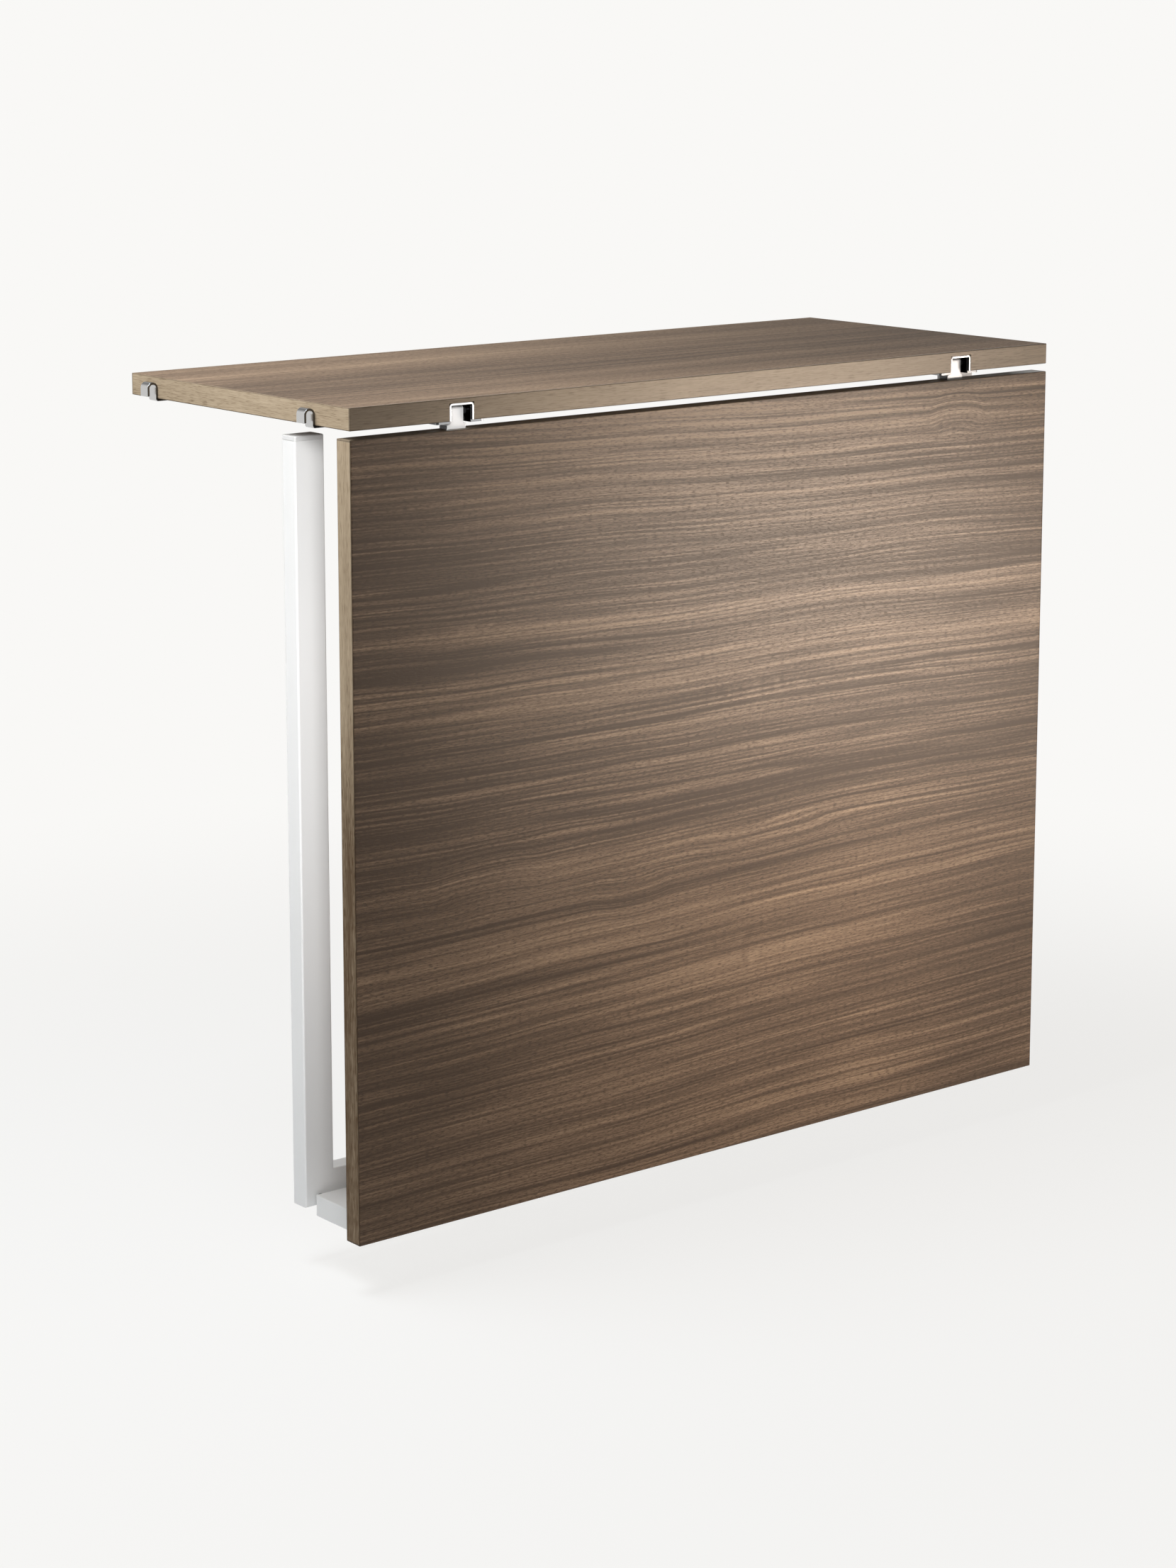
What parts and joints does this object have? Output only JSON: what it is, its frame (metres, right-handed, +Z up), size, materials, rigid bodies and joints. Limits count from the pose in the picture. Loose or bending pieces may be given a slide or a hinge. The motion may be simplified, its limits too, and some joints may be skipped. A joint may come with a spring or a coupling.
{
  "type": "wall mounted drop leaf table",
  "caption": "Wall shelf on bent hooks with a drop leaf hinged to its front edge and a folding tube leg frame behind the leaf, which opens to a table.",
  "frame": {"origin": "middle of the shelf's back edge", "axes": "+X to the right along the shelf, +Y towards the wall, +Z up"},
  "size_m": [0.78, 0.312, 0.6704],
  "materials": {
    "walnut_face": "matt lacquered veneer",
    "walnut_edge": "matt lacquered veneer",
    "chrome": "polished",
    "steel": "zinc plated",
    "white_metal": "satin powder coat",
    "white_lacquer": "satin white lacquer",
    "white_plastic": "satin",
    "bumper": "matt"
  },
  "bodies": {
    "shelf": {"shelf_board": "walnut_face", "shelf_band_front": "walnut_edge", "shelf_band_back": "walnut_edge", "shelf_band_left": "walnut_edge", "shelf_band_right": "walnut_edge", "hook_front_left": "chrome", "hook_rear_left": "chrome", "hook_front_right": "chrome", "hook_rear_right": "chrome", "hook_screws": "steel", "hinge_hoop_left": "chrome", "hinge_hoop_right": "chrome", "hoop_screws": "steel", "hinge_pin_left": "steel", "hinge_pin_right": "steel"},
    "leaf": {"leaf_board": "walnut_face", "leaf_band_top": "walnut_edge", "leaf_band_bottom": "walnut_edge", "leaf_band_left": "walnut_edge", "leaf_band_right": "walnut_edge", "hinge_arm_left": "chrome", "hinge_arm_right": "chrome", "arm_screws": "steel", "leg_rail": "white_lacquer", "rail_screws": "steel", "rail_plate_screws": "steel", "leg_hinge_fixed_left": "steel", "leg_hinge_fixed_right": "steel", "leg_hinge_pin_left": "steel", "leg_hinge_pin_right": "steel", "leg_bumpers": "bumper"},
    "leg": {"leg_post_left": "white_metal", "leg_post_right": "white_metal", "leg_cross_tube": "white_metal", "foot_cap_left": "white_plastic", "foot_cap_right": "white_plastic", "leg_hinge_moving_left": "steel", "leg_hinge_moving_right": "steel", "tube_plate_screws": "steel"}
  },
  "joints": [
    {"name": "leaf_fold", "type": "hinge", "parent": "shelf", "child": "leaf", "pos_m": [0, -0.3008, -0.0022], "axis": [-1, 0, 0], "range_deg": [0, 90]},
    {"name": "leg_fold", "type": "hinge", "parent": "leaf", "child": "leg", "pos_m": [0, -0.2292, -0.65231], "axis": [-1, 0, 0], "range_deg": [0, 90]}
  ]
}
